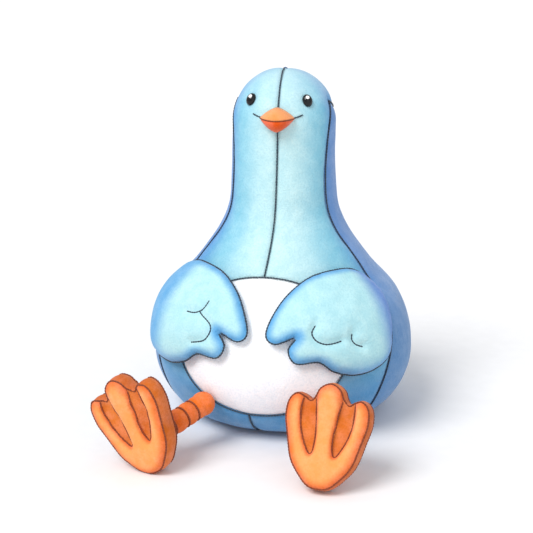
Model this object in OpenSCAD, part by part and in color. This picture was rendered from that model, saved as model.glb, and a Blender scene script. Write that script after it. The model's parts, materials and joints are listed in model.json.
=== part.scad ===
// Sitting plush penguin: fabric panels over stuffing, sewn-on wings, legs and webbed feet.
// +Z is up, the penguin faces -Y, and the origin is the centre of its flat underside.
// Left and right are the penguin's own: its left side is at +X.

/* [Body] */
// Radius of the flat underside
base_r = 58; // [45:1:66]
// Radius of the belly at its widest
belly_r = 113; // [100:1:125]
// Height of the widest part of the belly
belly_z = 60; // [50:1:68]
// Radius of the upper belly, just under the shoulders
upper_belly_r = 101; // [92:1:108]
// Height of the upper belly above the widest part
upper_belly_rise = 45; // [37:1:54]
// Radius at the shoulders
shoulder_r = 75.5; // [68:0.5:82]
// Height of the shoulders above the upper belly
shoulder_rise = 30; // [25:1:36]
// Radius at the foot of the neck
neck_foot_r = 50; // [47:0.5:56]
// Height of the foot of the neck above the shoulders
neck_foot_rise = 40; // [33:1:48]
// Radius of the neck
neck_r = 45; // [40:0.5:47]
// Height of the neck above its foot
neck_rise = 35; // [29:1:42]
// Radius of the head
head_r = 44; // [37:0.5:53]
// Height of the widest part of the head above the neck
head_rise = 45; // [37:1:54]
// Height of the domed crown above the widest part of the head
crown_h = 45; // [38:1:54]
// Thickness of the body fabric
cloth = 2; // [1:0.1:3]
// Angle from the front to the side seams
side_seam = 66; // [55:1:75]
// Height of the crown seam above the widest part of the head, on the body's axis
crown_seam_rise = 17; // [8:1:24]
// Slope of the crown seam towards the back
crown_seam_slope = 24; // [10:1:35]

/* [Belly patch] */
// Width of the white belly patch
patch_w = 144; // [110:1:160]
// Height of the white belly patch
patch_h = 110; // [90:1:120]
// Height of the patch's centre above the widest part of the belly
patch_rise = 23; // [16:1:28]

/* [Pellet pouch] */
// Radius of the pouch of pellets that weights the base
pouch_r = 70; // [50:1:80]
// Height of the pouch
pouch_h = 40; // [25:1:50]
// Thickness of the pouch's cloth
pouch_cloth = 1; // [0.6:0.1:2]

/* [Face] */
// Turn of the face towards the penguin's left
face_turn = 3.5; // [-6:0.5:6]

/* [Eyes] */
// Width of an eye
eye_w = 8.6; // [7:0.1:11]
// Height of an eye
eye_h = 10.6; // [8:0.1:13]
// How far an eye stands out
eye_depth = 3.6; // [2:0.1:5]
// Angle of the eyes from the front
eye_angle = 38; // [30:1:45]
// Height of the eyes above the widest part of the head
eye_rise = 22; // [14:1:26]
// Radius of the eye's shank
shank_r = 2; // [1.5:0.1:2.5]
// Radius of the locking washer
washer_r = 6; // [5:0.1:8]
// Thickness of the locking washer
washer_t = 1.2; // [0.8:0.1:2]

/* [Beak] */
// Width of the beak
beak_w = 29; // [22:0.5:36]
// Height of the beak where its corners meet the face
beak_h = 20; // [16:0.5:28]
// How far the beak stands out from the face
beak_l = 13; // [8:0.5:18]
// Height of the mouth line above the widest part of the head
beak_rise = 8.5; // [3:0.5:12]
// Thickness of the beak's felt
beak_cloth = 1.2; // [0.8:0.1:2]
// Length of each smile line beside the beak
smile_l = 7; // [5:0.5:10]

/* [Wings] */
// Height of a wing from its shoulder to its longest feather
wing_h = 73; // [61:1:88]
// Angle round the belly from the wing's front tip to its back edge
wing_span = 63; // [53:1:75]
// Thickness of a wing
wing_t = 14; // [10:0.5:20]
// Thickness of the wing fabric
wing_cloth = 1.5; // [1:0.1:2.5]
// Gap between a wing and the belly
wing_gap = 1.2; // [0.6:0.1:3]
// Angle of the wing's middle from the front
wing_angle = 35; // [30:1:42]
// Angle from the front that each wing's tip keeps clear
wing_apart = 3; // [2:0.5:6]

/* [Legs] */
// Radius of a leg
leg_r = 9; // [7:0.5:11]
// Level distance from hip to ankle
leg_l = 53; // [40:1:60]
// Thickness of the leg fabric
leg_cloth = 1.5; // [1:0.1:2]
// Angle of the hips from the front
hip_angle = 22; // [16:1:28]
// Height at which the legs leave the belly
hip_z = 41; // [34:1:48]
// Gap between neighbouring moving pieces
clearance = 0.5; // [0.4:0.1:1]
// Direction of the left leg, away from straight ahead
left_leg_yaw = 24; // [15:1:45]
// Direction of the right leg, away from straight ahead
right_leg_yaw = 34; // [15:1:55]

/* [Feet] */
// Length of a foot from heel to middle toe
foot_l = 80; // [65:1:90]
// Width of a foot across the toes
foot_w = 65; // [56:1:78]
// Thickness of a foot
foot_t = 17; // [12:0.5:22]
// Thickness of the foot fabric
foot_cloth = 1.5; // [1:0.1:2]
// Depth of the webs between the toes
web_depth = 3; // [1.5:0.5:5]
// Height on the sole at which the leg joins
ankle_h = 24; // [18:1:32]

/* [Sewing] */
// Thickness of the sewing thread
thread_r = 0.6; // [0.4:0.1:1]
// Spacing of the stitches that close the back
stitch_pitch = 7; // [5:0.5:10]

/* [Hidden] */
$fn = 96;
SIDES = [1, -1];
FAR = 600;

// Heights above the floor, each stacked on the one below
UPPER_BELLY_Z = belly_z + upper_belly_rise;
SHOULDER_Z = UPPER_BELLY_Z + shoulder_rise;
NECK_FOOT_Z = SHOULDER_Z + neck_foot_rise;
NECK_Z = NECK_FOOT_Z + neck_rise;
HEAD_Z = NECK_Z + head_rise;
BODY_H = HEAD_Z + crown_h;
PATCH_Z = belly_z + patch_rise;
CROWN_SEAM_Z = HEAD_Z + crown_seam_rise;
EYE_Z = HEAD_Z + eye_rise;
BEAK_Z = HEAD_Z + beak_rise;

// Radius keys of the body above the belly: [height, radius]
RISE = [
  [belly_z, belly_r],
  [UPPER_BELLY_Z, upper_belly_r],
  [SHOULDER_Z, shoulder_r],
  [NECK_FOOT_Z, neck_foot_r],
  [NECK_Z, neck_r],
  [HEAD_Z, head_r]
];
LAST = len(RISE) - 1;

// Slope of the radius at a key: level at both ends, and the mean of its two spans between
function key_slope(i) =
  i == 0 || i == LAST ? 0 : (span_slope(i - 1) + span_slope(i)) / 2;
function span_slope(i) = (RISE[i + 1][1] - RISE[i][1]) / (RISE[i + 1][0] - RISE[i][0]);
function span_at(z, i = 0) = i == LAST - 1 || z < RISE[i + 1][0] ? i : span_at(z, i + 1);

// Smooth curve between two keys
function span_r(z, i, t, len_z) =
  (2 * pow(t, 3) - 3 * pow(t, 2) + 1) * RISE[i][1]
  + (pow(t, 3) - 2 * pow(t, 2) + t) * len_z * key_slope(i)
  + (3 * pow(t, 2) - 2 * pow(t, 3)) * RISE[i + 1][1]
  + (pow(t, 3) - pow(t, 2)) * len_z * key_slope(i + 1);
function rise_r(z, i) =
  span_r(z, i, (z - RISE[i][0]) / (RISE[i + 1][0] - RISE[i][0]), RISE[i + 1][0] - RISE[i][0]);

// Radius of the body at a height: bowl, rise, then crown
function bowl_r(z) = base_r + (belly_r - base_r) * sqrt(1 - pow(1 - z / belly_z, 2));
function crown_r(z) = head_r * sqrt(max(0, 1 - pow((z - HEAD_Z) / crown_h, 2)));
function body_r(z) =
  z < belly_z ? bowl_r(max(z, 0)) : z < HEAD_Z ? rise_r(z, span_at(z)) : crown_r(z);

// Outward normal of the body's outline at a height: [away from the axis, up]
function outline_normal(z) =
  let (step = 0.5, fall = (body_r(z - step) - body_r(z + step)) / (2 * step))
  [1, fall] / norm([1, fall]);

// Heights at which the outline has a corner: close together where it bends
BOWL_HEIGHTS = [for (k = [0 : 6]) belly_z * (1 - cos(15 * k))];
RISE_STEP = 9;
RISE_COUNT = round((HEAD_Z - belly_z) / RISE_STEP);
RISE_HEIGHTS = [for (k = [1 : RISE_COUNT]) belly_z + (HEAD_Z - belly_z) * k / RISE_COUNT];
CROWN_HEIGHTS = [for (k = [1 : 7]) HEAD_Z + crown_h * sin(11.5 * k)];
HEIGHTS = concat(BOWL_HEIGHTS, RISE_HEIGHTS, CROWN_HEIGHTS);

// A point of the outline moved out by d: [radius, height]
function outline_point(z, d) = [body_r(z) + d * outline_normal(z)[0], z + d * outline_normal(z)[1]];
function outline(d, low) =
  [for (z = HEIGHTS) if (z > 0 && outline_point(z, d)[1] > low + 1) outline_point(z, d)];
function foot_of(d, low) = [body_r(low) + d / outline_normal(max(low, 2))[0], low];

// The whole body, grown by d, above the height low
module body_solid(d, low) {
  rim = foot_of(d, low);
  rotate_extrude()
    polygon(concat([[0, low], rim], outline(d, low), [[0, BODY_H + d]]));
}

// Part of the body's skin between two angles from the front
module skin(from, to) {
  inner = concat([foot_of(-cloth, cloth)], outline(-cloth, cloth), [[0, BODY_H - cloth]]);
  outer = concat([foot_of(0, cloth)], outline(0, cloth), [[0, BODY_H]]);
  back = [for (i = [len(inner) - 1 : -1 : 0]) inner[i]];
  rotate([0, 0, from - 90])
    rotate_extrude(angle = to - from)
      polygon(concat(outer, back));
}

// Everything above the crown seam, which falls towards the back
module above_crown_seam() {
  translate([0, 0, CROWN_SEAM_Z])
    rotate([-crown_seam_slope, 0, 0])
      translate([-FAR / 2, -FAR / 2, 0])
        cube(FAR);
}

// Upright elliptical prism that cuts the belly patch out of the skin
module patch_prism() {
  corners = 60;
  rotate([90, 0, 0])
    linear_extrude(FAR)
      polygon([
        for (k = [0 : corners - 1])
          let (turn = 360 * k / corners)
          [patch_w / 2 * cos(turn), PATCH_Z + patch_h / 2 * sin(turn)]
      ]);
}

// Frame on the body's surface: z points out of it, y up it, at an angle from the front
module on_body(angle, z, d = 0) {
  n = outline_normal(z);
  p = outline_point(z, d);
  rotate([0, 0, angle])
    translate([0, -p[0], p[1]])
      rotate([90 - atan2(n[1], n[0]), 0, 0])
        children();
}

module eye_shank(r, deep) {
  translate([0, 0, -deep])
    cylinder(r = r, h = deep);
}

// How far a washer sits below the surface so that it clears the curved cloth
WASHER_DEEP = cloth + pow(washer_r, 2) / (2 * (head_r - cloth)) + 0.7 + washer_t;
SHANK_DEEP = WASHER_DEEP + 1.5;

// Draws the left piece, or its mirror image for the right
module on_side(side) {
  if (side > 0)
    children();
  else
    mirror([1, 0, 0])
      children();
}

module front_panel(side) {
  color("paleturquoise")
    on_side(side)
      difference() {
        union() {
          skin(0, side_seam);
          intersection() {
            skin(0, 180);
            above_crown_seam();
          }
        }
        patch_prism();
        on_body(eye_angle + side * face_turn, EYE_Z)
          translate([0, 0, 1])
            eye_shank(shank_r, SHANK_DEEP + 1);
      }
}

module back_panel(side) {
  color("cornflowerblue")
    on_side(side)
      difference() {
        skin(side_seam, 180);
        above_crown_seam();
      }
}

module belly_patch() {
  color("white")
    intersection() {
      skin(-side_seam, side_seam);
      patch_prism();
    }
}

module base_panel() {
  color("steelblue")
    rotate_extrude()
      polygon([[0, 0], [body_r(0), 0], [body_r(cloth), cloth], [0, cloth]]);
}

// Flattened bag that rests just above the base
POUCH_Z = cloth + pouch_h / 2 + 4;
module pouch_shape(d) {
  translate([0, 0, POUCH_Z])
    scale([pouch_r - d, pouch_r - d, pouch_h / 2 - d])
      sphere(r = 1);
}

module body_stuffing() {
  room = 0.2;
  color("ivory")
    difference() {
      body_solid(-cloth, cloth);
      pouch_shape(-room);
      for (side = SIDES)
        on_body(face_turn + side * eye_angle, EYE_Z) {
          translate([0, 0, -WASHER_DEEP - room])
            cylinder(r = washer_r + room, h = washer_t + 2 * room);
          eye_shank(shank_r + room, SHANK_DEEP + room);
        }
    }
}

module pellet_pouch() {
  color("linen")
    difference() {
      pouch_shape(0);
      pouch_shape(pouch_cloth);
    }
}

module pellet_fill() {
  color("gainsboro")
    pouch_shape(pouch_cloth + 0.1);
}

// Ladder stitches across the centre back seam
module closing_stitch() {
  first_z = 24;
  count = 8;
  color("cornflowerblue")
    for (k = [0 : count - 1])
      on_body(180, first_z + k * stitch_pitch, thread_r)
        rotate([0, 90, 0])
          cylinder(r = thread_r, h = 5, center = true);
}

module eye(side) {
  color("black")
    on_body(face_turn + side * eye_angle, EYE_Z) {
      intersection() {
        scale([eye_w / 2, eye_h / 2, eye_depth])
          sphere(r = 1);
        cylinder(r = eye_h, h = eye_depth);
      }
      eye_shank(shank_r, SHANK_DEEP);
    }
}

module eye_washer(side) {
  room = 0.1;
  color("dimgray")
    on_body(face_turn + side * eye_angle, EYE_Z)
      translate([0, 0, -WASHER_DEEP])
        difference() {
          cylinder(r = washer_r, h = washer_t);
          translate([0, 0, -1])
            cylinder(r = shank_r + room, h = washer_t + 2);
        }
}

// How far the face curves back at the corners of the beak
BEAK_SAG = head_r - sqrt(pow(head_r, 2) - pow(beak_w / 2, 2));

// Four-sided beak that stands on the face, made thinner by d
module beak_shape(d) {
  tip = 0.12;
  translate([0, BEAK_SAG - head_r, BEAK_Z])
    rotate([90, 0, 0])
      scale([beak_w / 2 - d, beak_h / 2 - d, 1])
        cylinder(r1 = 1, r2 = tip, h = BEAK_SAG + beak_l - d, $fn = 4);
}

module beak_half(side) {
  rotate([0, 0, face_turn])
    difference() {
      beak_shape(0);
      beak_shape(beak_cloth);
      body_solid(0, cloth);
      translate([-FAR / 2, -FAR / 2, side > 0 ? BEAK_Z - FAR : BEAK_Z])
        cube(FAR);
    }
}

module beak_upper() {
  color("sandybrown")
    beak_half(1);
}

module beak_lower() {
  color("orangered")
    beak_half(-1);
}

module beak_stuffing() {
  color("ivory")
    rotate([0, 0, face_turn])
      difference() {
        beak_shape(beak_cloth + 0.05);
        body_solid(0, cloth);
      }
}

// Two short lines of stitches that run up from the corners of the beak
module mouth_stitches() {
  corner = asin(min(1, beak_w / 2 / head_r));
  count = 3;
  step = smile_l / count;
  turn = step / head_r * 180 / PI;
  color("darkslategray")
    for (side = SIDES)
      for (k = [0 : count - 1])
        on_body(face_turn + side * (corner + 3 + turn * k), BEAK_Z + 0.6 + 0.5 * k, thread_r)
          rotate([0, 90, 0])
            cylinder(r = thread_r, h = step - 0.3, center = true);
}

// Wing outline, from its shoulder to its feathers, as shares of its span and of its height
WING_SHAPE = [
  [0.76, 0], [0.51, 0], [0.32, 0.055], [0.14, 0.205], [0.03, 0.4], [0, 0.56], [0.065, 0.63],
  [0.205, 0.56], [0.145, 0.685], [0.19, 0.82], [0.335, 0.82], [0.43, 0.93], [0.57, 1],
  [0.73, 0.985], [0.86, 0.89], [0.92, 0.685], [0.985, 0.44], [1, 0.245], [0.905, 0.07]
];
WING_CORNERS = 3;
WING_TOP_RISE = 3;

// A point of the wing: [angle from the front, height]
function wing_place(p) =
  [wing_angle + wing_span * (p[0] - 0.49), SHOULDER_Z + WING_TOP_RISE - p[1] * wing_h];
WING_KEYS = [for (p = WING_SHAPE) wing_place(p)];

// Closed smooth curve through a list of points, with n corners for each
function curve(keys, n) = [
  for (i = [0 : len(keys) - 1])
    for (k = [0 : n - 1])
      curve_point(keys, i, k / n)
];
function key_at(keys, i) = keys[(i + len(keys)) % len(keys)];
function curve_point(keys, i, t) =
  let (a = key_at(keys, i - 1), b = key_at(keys, i), c = key_at(keys, i + 1), d = key_at(keys, i + 2))
  (2 * b + (c - a) * t + (2 * a - 5 * b + 4 * c - d) * pow(t, 2)
    + (3 * b - a - 3 * c + d) * pow(t, 3)) / 2;

// The same closed outline with every point moved inwards by d; it runs anticlockwise
function inset(pts, d) = [
  for (i = [0 : len(pts) - 1])
    let (t = key_at(pts, i + 1) - key_at(pts, i - 1))
    pts[i] + d * [-t[1], t[0]] / norm(t)
];
function reversed(pts) = [for (i = [len(pts) - 1 : -1 : 0]) pts[i]];

// The wing's outline as seen straight at the wing, standing off the belly
WING_OUT = wing_gap + wing_t;
function wing_point(p) =
  [(body_r(p[1]) + WING_OUT) * sin(p[0] - wing_angle), p[1]];
WING_OUTLINE = [for (p = curve(WING_KEYS, WING_CORNERS)) wing_point(p)];

module wing_prism(d) {
  rotate([90, 0, wing_angle])
    linear_extrude(FAR)
      polygon(inset(WING_OUTLINE, d));
}

// Layer of the space round the belly between two distances from it
module belly_layer(near, far) {
  low = SHOULDER_Z - wing_h - 12;
  high = SHOULDER_Z + 17;
  levels = [for (z = HEIGHTS) if (z > low && z < high) z];
  outer = [for (z = levels) outline_point(z, far)];
  inner = [for (z = levels) outline_point(z, near)];
  rotate([0, 0, wing_apart - 90])
    rotate_extrude(angle = 140 - wing_apart)
      polygon(concat(outer, reversed(inner)));
}

module wing_layer(near, far, d) {
  intersection() {
    belly_layer(near, far);
    wing_prism(d);
  }
}

// The outer fabric wraps round the stuffing, and the inner fabric closes it
module wing_outer(side) {
  color("paleturquoise")
    on_side(side)
      difference() {
        wing_layer(wing_gap + wing_cloth, WING_OUT, 0);
        wing_layer(wing_gap, WING_OUT - wing_cloth, wing_cloth);
      }
}

module wing_inner(side) {
  color("lightskyblue")
    on_side(side)
      wing_layer(wing_gap, wing_gap + wing_cloth, 0);
}

module wing_stuffing(side) {
  color("ivory")
    on_side(side)
      wing_layer(wing_gap + wing_cloth, WING_OUT - wing_cloth, wing_cloth);
}

// Quilted arcs on the left and then the right wing: [place of the arc's centre, radius, start, end]
QUILT_ARCS = [
  [[[0.4, 0.5], 12, 222, 370], [[0.62, 0.6], 8.3, 270, 370]],
  [[[0.41, 0.27], 12.8, 240, 340], [[0.34, 0.57], 10.8, 250, 463]]
];
module wing_quilting(side) {
  step = 20;
  color("darkslategray")
    for (arc = side > 0 ? QUILT_ARCS[0] : QUILT_ARCS[1])
      for (turn = [arc[2] : step : arc[3]])
        let (
          middle = wing_place(arc[0]),
          angle = middle[0] - arc[1] * cos(turn) * 0.5,
          z = middle[1] + arc[1] * sin(turn)
        )
        on_body(side * angle, z, WING_OUT + thread_r)
          rotate([0, 90, 0])
            cylinder(r = thread_r, h = 3, center = true);
}

// Hip ball: the gathered end of the leg, just clear of the belly
CUFF_R = leg_r + 0.5;
HIP_N = outline_normal(hip_z);
HIP_OUT = outline_point(hip_z, CUFF_R + clearance);
function hip(side) =
  [side * HIP_OUT[0] * sin(hip_angle), -HIP_OUT[0] * cos(hip_angle), HIP_OUT[1]];

// Pose of each foot: [leg's yaw, foot's yaw, roll, lean], for the left and then the right
POSES = [
  [left_leg_yaw, -8, -1, 22],
  [-right_leg_yaw, -17, 27, -4]
];
function pose(side) = side > 0 ? POSES[0] : POSES[1];

// Half of the foot's outline as shares of its half width and its length, heel to middle toe
FOOT_HALF = [
  [0.25, 0.02], [0.47, 0.1], [0.74, 0.25], [0.906, 0.49], [1, 0.66], [0.963, 0.8],
  [0.8, 0.871], [0.62, 0.85], [0.47, 0.815], [0.33, 0.87], [0.24, 0.95]
];
FOOT_KEYS = concat(
  [[0, 0]],
  [for (p = FOOT_HALF) [p[0] * foot_w / 2, p[1] * foot_l]],
  [[0, foot_l]],
  [for (p = reversed(FOOT_HALF)) [-p[0] * foot_w / 2, p[1] * foot_l]]
);
FOOT_OUTLINE = curve(FOOT_KEYS, 3);

// Height of a foot's point above its ankle, once it is rolled and leans back
function foot_rise(p, z, q) =
  (p[0] * sin(q[2]) + (p[1] - ankle_h) * cos(q[2])) * cos(q[3]) + (z + foot_t) * sin(q[3]);
function ankle_z(side) =
  -min([for (p = FOOT_OUTLINE) min(foot_rise(p, 0, pose(side)), foot_rise(p, -foot_t, pose(side)))]);
function ankle(side) =
  [hip(side)[0] + leg_l * sin(pose(side)[0]), hip(side)[1] - leg_l * cos(pose(side)[0]), ankle_z(side)];

// Foot's frame: x across the toes, y up the sole, z out of the sole, with the sole's face at 0
module foot_frame(side) {
  q = pose(side);
  translate(ankle(side))
    rotate([90 - q[3], 0, q[1]])
      rotate([0, 0, q[2]])
        translate([0, -ankle_h, foot_t])
          children();
}

// Leg's frame: z runs from the hip to the ankle
module leg_frame(side) {
  v = ankle(side) - hip(side);
  translate(hip(side))
    rotate([0, acos(v[2] / norm(v)), atan2(v[1], v[0])])
      children();
}

module leg_cuff(side) {
  color("darkorange")
    translate(hip(side))
      sphere(r = CUFF_R);
}

// Round bar along the leg from a place past the hip, cut clear of the foot's back
module leg_bar(side, r, start) {
  difference() {
    leg_frame(side)
      translate([0, 0, start])
        cylinder(r = r, h = norm(ankle(side) - hip(side)) + 2 * leg_r - start);
    foot_frame(side)
      translate([-FAR / 2, -FAR / 2, -foot_t - clearance])
        cube(FAR);
  }
}

// The tube's rim just clears the hip ball, and the stuffing ends in front of it
TUBE_START = sqrt(pow(CUFF_R + clearance, 2) - pow(leg_r - leg_cloth, 2));
module leg_tube(side) {
  color("darkorange")
    difference() {
      leg_bar(side, leg_r, TUBE_START);
      leg_frame(side)
        cylinder(r = leg_r - leg_cloth, h = FAR);
    }
}

module leg_stuffing(side) {
  color("ivory")
    leg_bar(side, leg_r - leg_cloth - 0.05, CUFF_R + clearance);
}

// Threads drawn round the leg: place of each as a share of the way from hip to ankle
RING_PLACES = [0.21, 0.41, 0.66];
module leg_rings(side) {
  color("saddlebrown")
    leg_frame(side)
      for (place = RING_PLACES)
        translate([0, 0, place * norm(ankle(side) - hip(side))])
          rotate_extrude()
            translate([leg_r + thread_r, 0])
              circle(r = thread_r);
}

// One web between two toes, as shares of the foot's half width and its length
WEB_HALF = [
  [0.3, 0.315], [0.39, 0.355], [0.55, 0.49], [0.64, 0.645], [0.63, 0.84],
  [0.5, 0.91], [0.36, 0.9], [0.33, 0.865], [0.26, 0.67], [0.22, 0.485], [0.24, 0.36]
];
module web_shape(d) {
  for (side = SIDES)
    polygon([
      for (p = inset(curve([for (w = WEB_HALF) [w[0] * foot_w / 2, w[1] * foot_l]], 2), -d))
        [side * p[0], p[1]]
    ]);
}

module foot_slab(low, high, d) {
  translate([0, 0, low])
    linear_extrude(high - low)
      polygon(inset(FOOT_OUTLINE, d));
}

module web_slab(low, high, d) {
  translate([0, 0, low])
    linear_extrude(high - low)
      web_shape(d);
}

module foot_gusset(side) {
  color("chocolate")
    foot_frame(side)
      difference() {
        foot_slab(-foot_t, 0, 0);
        foot_slab(-foot_t - 1, 1, foot_cloth);
      }
}

module foot_sole(side) {
  color("sandybrown")
    foot_frame(side)
      difference() {
        foot_slab(-foot_cloth, 0, foot_cloth);
        web_slab(-foot_cloth - 1, 1, 0);
      }
}

module foot_top(side) {
  color("darkorange")
    foot_frame(side)
      foot_slab(-foot_t, foot_cloth - foot_t, foot_cloth);
}

module foot_webs(side) {
  color("peru")
    foot_frame(side)
      intersection() {
        web_slab(-web_depth - foot_cloth, -web_depth, 0);
        foot_slab(-foot_t, 0, foot_cloth);
      }
}

module foot_stuffing(side) {
  color("ivory")
    foot_frame(side)
      difference() {
        foot_slab(foot_cloth - foot_t, -foot_cloth, foot_cloth);
        web_slab(-web_depth - foot_cloth, 1, 0);
      }
}

front_panel(1);  // front_panel_left
front_panel(-1);  // front_panel_right
back_panel(1);  // back_panel_left
back_panel(-1);  // back_panel_right
belly_patch();
base_panel();
body_stuffing();
pellet_pouch();
pellet_fill();
closing_stitch();
eye(1);  // eye_left
eye(-1);  // eye_right
eye_washer(1);  // eye_washer_left
eye_washer(-1);  // eye_washer_right
beak_upper();
beak_lower();
beak_stuffing();
mouth_stitches();
wing_outer(1);  // wing_left_outer
wing_inner(1);  // wing_left_inner
wing_stuffing(1);  // wing_left_stuffing
wing_quilting(1);  // wing_left_quilting
wing_outer(-1);  // wing_right_outer
wing_inner(-1);  // wing_right_inner
wing_stuffing(-1);  // wing_right_stuffing
wing_quilting(-1);  // wing_right_quilting
leg_cuff(1);  // leg_left_cuff
leg_tube(1);  // leg_left_tube
leg_stuffing(1);  // leg_left_stuffing
leg_rings(1);  // leg_left_rings
leg_cuff(-1);  // leg_right_cuff
leg_tube(-1);  // leg_right_tube
leg_stuffing(-1);  // leg_right_stuffing
leg_rings(-1);  // leg_right_rings
foot_sole(1);  // foot_left_sole
foot_top(1);  // foot_left_top
foot_gusset(1);  // foot_left_gusset
foot_webs(1);  // foot_left_webs
foot_stuffing(1);  // foot_left_stuffing
foot_sole(-1);  // foot_right_sole
foot_top(-1);  // foot_right_top
foot_gusset(-1);  // foot_right_gusset
foot_webs(-1);  // foot_right_webs
foot_stuffing(-1);  // foot_right_stuffing
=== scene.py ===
"""Sitting plush penguin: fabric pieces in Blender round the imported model."""
import json
import math

import bmesh
import bpy
import numpy as np
from mathutils import Euler, Matrix, Vector, kdtree, noise


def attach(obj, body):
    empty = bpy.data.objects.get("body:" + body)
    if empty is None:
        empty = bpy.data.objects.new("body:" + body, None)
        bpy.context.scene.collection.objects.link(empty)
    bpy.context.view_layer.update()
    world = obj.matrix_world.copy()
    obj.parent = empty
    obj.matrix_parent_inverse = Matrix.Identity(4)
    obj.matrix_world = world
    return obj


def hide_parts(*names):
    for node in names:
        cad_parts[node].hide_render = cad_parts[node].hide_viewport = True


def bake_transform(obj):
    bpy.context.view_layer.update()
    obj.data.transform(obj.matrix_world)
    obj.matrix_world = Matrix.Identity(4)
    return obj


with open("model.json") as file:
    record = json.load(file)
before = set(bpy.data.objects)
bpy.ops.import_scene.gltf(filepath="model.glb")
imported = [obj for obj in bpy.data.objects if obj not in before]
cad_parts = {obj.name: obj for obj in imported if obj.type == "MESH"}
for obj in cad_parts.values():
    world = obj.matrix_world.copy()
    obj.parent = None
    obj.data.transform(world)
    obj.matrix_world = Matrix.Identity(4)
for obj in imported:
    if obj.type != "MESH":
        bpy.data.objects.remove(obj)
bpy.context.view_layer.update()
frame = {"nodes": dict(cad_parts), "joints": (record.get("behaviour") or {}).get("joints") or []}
MM = 0.001
scene = bpy.context.scene
JOINTS = {j["name"]: j for j in frame["joints"]}


# ---- camera, light, floor
def look():
    """Camera a little above the toy and a little to its own left."""
    elevation, azimuth = math.radians(16), math.radians(12)
    aside, raised, distance = -14.8, 121.5, 1200
    data = bpy.data.cameras.new("camera")
    data.sensor_width = 36
    data.lens = 90.4
    data.clip_end = 100
    cam = bpy.data.objects.new("camera", data)
    scene.collection.objects.link(cam)
    turn = Matrix.Rotation(azimuth, 4, "Z") @ Matrix.Rotation(math.pi / 2 - elevation, 4, "X")
    cam.matrix_world = turn @ Matrix.Translation(Vector((aside, raised, distance)) * MM)
    scene.camera = cam


def light():
    """Soft studio light: a pale room, and a broad lamp from the upper left."""
    world = bpy.data.worlds.new("room")
    scene.world = world
    world.use_nodes = True
    sky = world.node_tree.nodes["Background"]
    sky.inputs["Color"].default_value = (0.985, 0.99, 1, 1)
    sky.inputs["Strength"].default_value = 0.64
    for name, strength, spread, turn in (
        ("key", 2.25, 30, (34, -24, 0)),
        ("fill", 0.35, 60, (60, 35, 20)),
    ):
        data = bpy.data.lights.new(name, "SUN")
        data.energy = strength
        data.angle = math.radians(spread)
        lamp = bpy.data.objects.new(name, data)
        lamp.rotation_euler = Euler([math.radians(a) for a in turn])
        scene.collection.objects.link(lamp)
    scene.view_settings.view_transform = "Standard"


# ---- materials
def srgb(*levels):
    """Linear colour of an sRGB one given from 0 to 255."""
    share = [level / 255 for level in levels]
    return [c / 12.92 if c <= 0.04045 else ((c + 0.055) / 1.055) ** 2.4 for c in share] + [1]


def lighter(colour, by):
    """Linear colour of an sRGB one raised by a few levels."""
    return srgb(*[min(255, level + by) for level in colour])


# Every material, by the name that it is given here
MATERIAL = {}


class Shade:
    """A procedural material, built from the piece's own coordinates."""

    def __init__(self, name, roughness=0.85, sheen=0.0, specular=0.3, coat=0.0):
        self.mat = bpy.data.materials.new(name)
        MATERIAL[name] = self.mat
        self.mat.use_nodes = True
        self.tree = self.mat.node_tree
        self.bsdf = self.tree.nodes["Principled BSDF"]
        self.bsdf.inputs["Roughness"].default_value = roughness
        self.bsdf.inputs["Sheen Weight"].default_value = sheen
        self.bsdf.inputs["Sheen Roughness"].default_value = 0.45
        self.bsdf.inputs["Specular IOR Level"].default_value = specular
        self.bsdf.inputs["Coat Weight"].default_value = coat
        self.at = self.tree.nodes.new("ShaderNodeTexCoord").outputs["Object"]
        parts = self.node("ShaderNodeSeparateXYZ", Vector=self.at)
        self.x, self.y, self.z = (parts.outputs[k] for k in "XYZ")

    def put(self, node, key, value):
        socket = node.inputs[key]
        if isinstance(value, bpy.types.NodeSocket):
            self.tree.links.new(value, socket)
        else:
            socket.default_value = value

    def node(self, kind, **values):
        made = self.tree.nodes.new(kind)
        for key, value in values.items():
            self.put(made, key.replace("_", " "), value)
        return made

    def math(self, operation, *values):
        made = self.tree.nodes.new("ShaderNodeMath")
        made.operation = operation
        for k, value in enumerate(values):
            self.put(made, k, value)
        return made.outputs[0]

    def ramp(self, value, low, high, bottom=0.0, top=1.0):
        """From bottom to top as value goes smoothly from low to high."""
        made = self.tree.nodes.new("ShaderNodeMapRange")
        made.interpolation_type = "SMOOTHSTEP"
        for key, given in (("Value", value), ("From Min", low), ("From Max", high),
                           ("To Min", bottom), ("To Max", top)):
            self.put(made, key, given)
        return made.outputs[0]

    def mix(self, share, first, second, blend="MIX"):
        made = self.tree.nodes.new("ShaderNodeMix")
        made.data_type = "RGBA"
        made.blend_type = blend
        self.put(made, 0, share)
        self.put(made, 6, first)
        self.put(made, 7, second)
        return made.outputs[2]

    def noise(self, scale, detail=2.0, roughness=0.5):
        return self.node("ShaderNodeTexNoise", Vector=self.at, Scale=scale, Detail=detail,
                         Roughness=roughness).outputs[0]

    def inset(self):
        """Distance in from the piece's seams, in millimetres, as piece() stores it."""
        made = self.tree.nodes.new("ShaderNodeAttribute")
        made.attribute_name = "inset"
        return made.outputs["Fac"]

    def finish(self, colour, height, depth, strength=0.6):
        self.put(self.bsdf, "Base Color", colour)
        bump = self.node("ShaderNodeBump", Height=height, Distance=depth, Strength=strength)
        self.put(self.bsdf, "Normal", bump.outputs[0])
        return self.mat


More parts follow.
